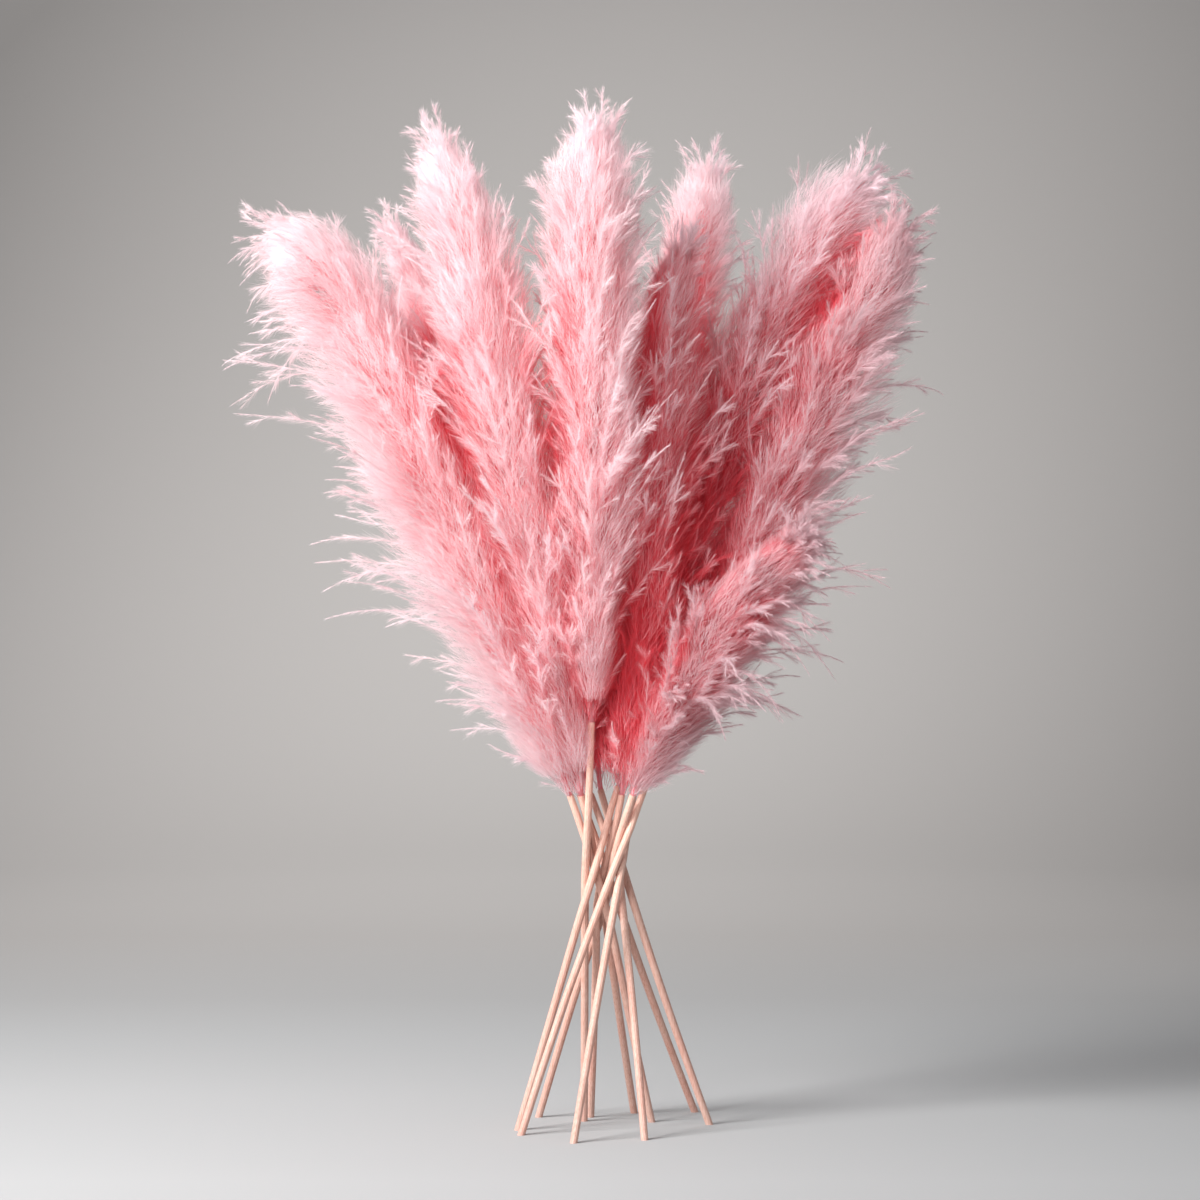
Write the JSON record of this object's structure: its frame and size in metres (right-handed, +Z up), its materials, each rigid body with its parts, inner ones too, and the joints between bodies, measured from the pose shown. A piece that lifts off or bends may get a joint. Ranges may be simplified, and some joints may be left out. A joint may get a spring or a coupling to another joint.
{
  "type": "bundle of dried pampas grass",
  "caption": "Bundle of dyed pampas grass with feathery pink plumes on peeled stems that cross at a narrow waist and stand on their splayed cut ends, for floor or shelf display.",
  "frame": {"origin": "middle of the bundle's bounding box, on the plane of the stems' cut ends", "axes": "+Z up from the cut ends to the plume tips; +X to the bundle's right and -Y to its front, the side that the tallest plume leans to"},
  "size_m": [0.7162, 0.4082, 1.07],
  "materials": {
    "peeled_stem": "matte",
    "dyed_plume": "matte"
  },
  "bodies": {
    "root": {"stem_far_right": "peeled_stem", "plume_far_right": "dyed_plume", "stem_tall_right": "peeled_stem", "plume_tall_right": "dyed_plume", "stem_front_right": "peeled_stem", "plume_front_right": "dyed_plume", "stem_back_right": "peeled_stem", "plume_back_right": "dyed_plume", "stem_front_centre": "peeled_stem", "plume_front_centre": "dyed_plume", "stem_inner_right": "peeled_stem", "plume_inner_right": "dyed_plume", "stem_tall_left": "peeled_stem", "plume_tall_left": "dyed_plume", "stem_back_left": "peeled_stem", "plume_back_left": "dyed_plume", "stem_far_left": "peeled_stem", "plume_far_left": "dyed_plume", "stem_inner_left": "peeled_stem", "plume_inner_left": "dyed_plume", "stem_back_centre": "peeled_stem", "plume_back_centre": "dyed_plume"}
  },
  "joints": []
}
